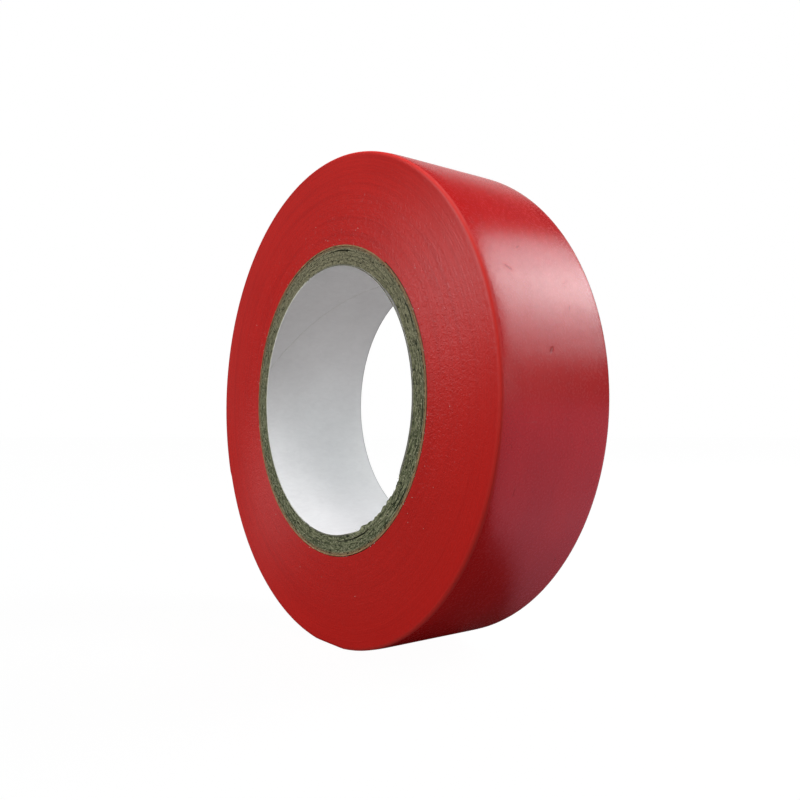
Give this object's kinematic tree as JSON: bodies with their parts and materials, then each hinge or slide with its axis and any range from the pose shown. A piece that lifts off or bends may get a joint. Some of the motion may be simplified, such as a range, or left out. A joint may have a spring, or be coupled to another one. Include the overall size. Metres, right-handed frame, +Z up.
{
  "type": "electrical tape roll",
  "caption": "Roll of red PVC electrical insulating tape on a spiral-wound cardboard core, standing on its rim, with a free end that peels up.",
  "frame": {"origin": "centre of the bore, at the middle of the tape's width", "axes": "+Y along the roll's axis, from the front side face to the back one; +Z up, with the roll standing on its rim"},
  "size_m": [0.0562, 0.015, 0.056],
  "materials": {
    "white_liner_paper": "smooth uncoated white paper",
    "grey_chipboard": "cut edge of grey-green recycled chipboard",
    "kraft_paper": "cut edge of tan kraft paper",
    "red_pvc_tape": "satin-gloss red PVC film"
  },
  "bodies": {
    "roll": {"paper_liner": "white_liner_paper", "board_ply_inner": "grey_chipboard", "board_ply_second": "grey_chipboard", "board_ply_third": "grey_chipboard", "board_ply_outer": "grey_chipboard", "kraft_cover_ply": "kraft_paper", "tape_winding": "red_pvc_tape"},
    "tape_end": {"tape_end": "red_pvc_tape"}
  },
  "joints": [
    {"name": "tape_end_peel", "type": "hinge", "parent": "roll", "child": "tape_end", "pos_m": [-0.0243, 0, 0.01403], "axis": [0, 1, 0], "range_deg": [0, 120]}
  ]
}
